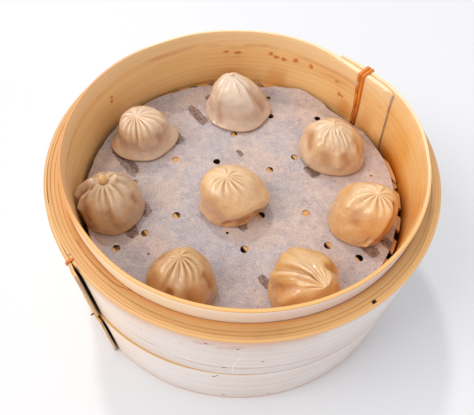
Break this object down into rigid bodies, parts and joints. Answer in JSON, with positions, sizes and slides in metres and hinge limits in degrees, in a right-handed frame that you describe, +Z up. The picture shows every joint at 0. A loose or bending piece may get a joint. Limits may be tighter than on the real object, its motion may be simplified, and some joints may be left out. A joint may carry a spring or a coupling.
{
  "type": "xiaolongbao soup dumplings in a bamboo steamer basket",
  "caption": "Pleated steamed soup dumplings on a perforated paper liner over a slatted mat, in a deep round bamboo steamer basket with a stepped rim.",
  "frame": {"origin": "centre of the basket's foot, on the surface that it stands on", "axes": "+Z up out of the open top; -Y towards the front, where the view comes from; +X to the right"},
  "size_m": [0.2238, 0.2238, 0.1136],
  "materials": {
    "bamboo_strip": "peeled bamboo strips bent on edge, satin, golden tan with fine grain along the strip",
    "bamboo_skin": "outer bamboo skin, pale, smooth and slightly glossy, with faint grain and a few dark specks",
    "mat_bamboo": "damp brown bamboo slats, matt",
    "cane": "split cane ties, orange brown, satin",
    "liner_paper": "damp steamer paper, greyish white, matt, with darker wet patches",
    "dough": "thin steamed wheat dough, creamy, moist satin shine, slightly translucent"
  },
  "bodies": {
    "root": {"cane_tie_left": "cane", "cane_tie_right": "cane", "dumpling_1": "dough", "dumpling_2": "dough", "dumpling_3": "dough", "dumpling_4": "dough", "dumpling_5": "dough", "dumpling_6": "dough", "dumpling_7": "dough", "dumpling_8": "dough", "inner_wall": "bamboo_strip", "ledge_strip_inner": "bamboo_strip", "ledge_strip_middle": "bamboo_strip", "ledge_strip_outer": "bamboo_strip", "lower_hoop": "bamboo_skin", "mat_bar_1": "mat_bamboo", "mat_bar_2": "mat_bamboo", "mat_bar_3": "mat_bamboo", "mat_carrier": "mat_bamboo", "mat_slat_01": "mat_bamboo", "mat_slat_02": "mat_bamboo", "mat_slat_03": "mat_bamboo", "mat_slat_04": "mat_bamboo", "mat_slat_05": "mat_bamboo", "mat_slat_06": "mat_bamboo", "mat_slat_07": "mat_bamboo", "mat_slat_08": "mat_bamboo", "mat_slat_09": "mat_bamboo", "mat_slat_10": "mat_bamboo", "mat_slat_11": "mat_bamboo", "mat_slat_12": "mat_bamboo", "mat_slat_13": "mat_bamboo", "mat_slat_14": "mat_bamboo", "paper_liner": "liner_paper", "seam_peg": "cane", "seam_tie": "cane", "upper_band": "bamboo_skin"}
  },
  "joints": []
}
